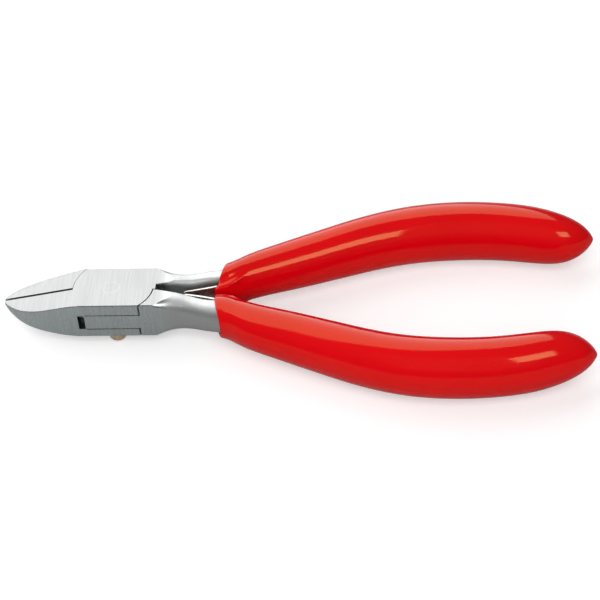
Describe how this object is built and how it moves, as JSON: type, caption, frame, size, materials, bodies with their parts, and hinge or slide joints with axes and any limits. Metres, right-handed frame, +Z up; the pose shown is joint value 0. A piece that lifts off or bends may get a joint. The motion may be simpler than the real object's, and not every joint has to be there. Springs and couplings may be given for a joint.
{
  "type": "sprue nippers",
  "caption": "Small box-joint side cutter with flush jaws, a double leaf spring and dip-coated handles, for cutting kit parts from sprues.",
  "frame": {"origin": "centre of the bounding box's underside, which is the surface that the closed tool lies on", "axes": "+X along the tool from the jaw tips to the handle ends, +Y across it to the side of the box lever's handle, +Z up out of the flush face"},
  "size_m": [0.1252, 0.055, 0.0132],
  "materials": {
    "lever_steel": "satin, finely ground across the head",
    "pin_steel": "satin, ground flush",
    "spring_steel": "bright rolled edge, darker rolled faces",
    "rivet_steel": "plain",
    "brass": "turned, slightly dull",
    "dip_coat": "glossy dip-coated soft plastic"
  },
  "bodies": {
    "box_side": {"box_lever": "lever_steel", "pivot_pin": "pin_steel", "stop_screw": "brass", "box_grip": "dip_coat", "box_spring_rivets": "rivet_steel"},
    "tongue_side": {"tongue_lever": "lever_steel", "tongue_grip": "dip_coat", "tongue_spring_rivets": "rivet_steel"},
    "box_leaf": {"box_leaf_spring": "spring_steel"},
    "tongue_leaf": {"tongue_leaf_spring": "spring_steel"}
  },
  "joints": [
    {"name": "handle_pivot", "type": "hinge", "parent": "box_side", "child": "tongue_side", "pos_m": [-0.03925, 0, 0.0066], "axis": [0, 0, -1], "range_deg": [-1.2, 15], "stiffness_Nm_per_rad": 1.2, "springref_deg": 16.62},
    {"name": "box_leaf_flex", "type": "hinge", "parent": "box_side", "child": "box_leaf", "pos_m": [-0.01475, 0.0026, 0.0066], "axis": [0, 0, 1], "range_deg": [-1.1, 13.4], "deforming": ["box_leaf_spring"]},
    {"name": "tongue_leaf_flex", "type": "hinge", "parent": "tongue_side", "child": "tongue_leaf", "pos_m": [-0.01475, -0.0026, 0.0066], "axis": [0, 0, -1], "range_deg": [-1.1, 13.4], "deforming": ["tongue_leaf_spring"]}
  ],
  "couplings": [
    {"joint": "box_leaf_flex", "follows": "handle_pivot", "ratio": 0.887},
    {"joint": "tongue_leaf_flex", "follows": "handle_pivot", "ratio": 0.887}
  ]
}
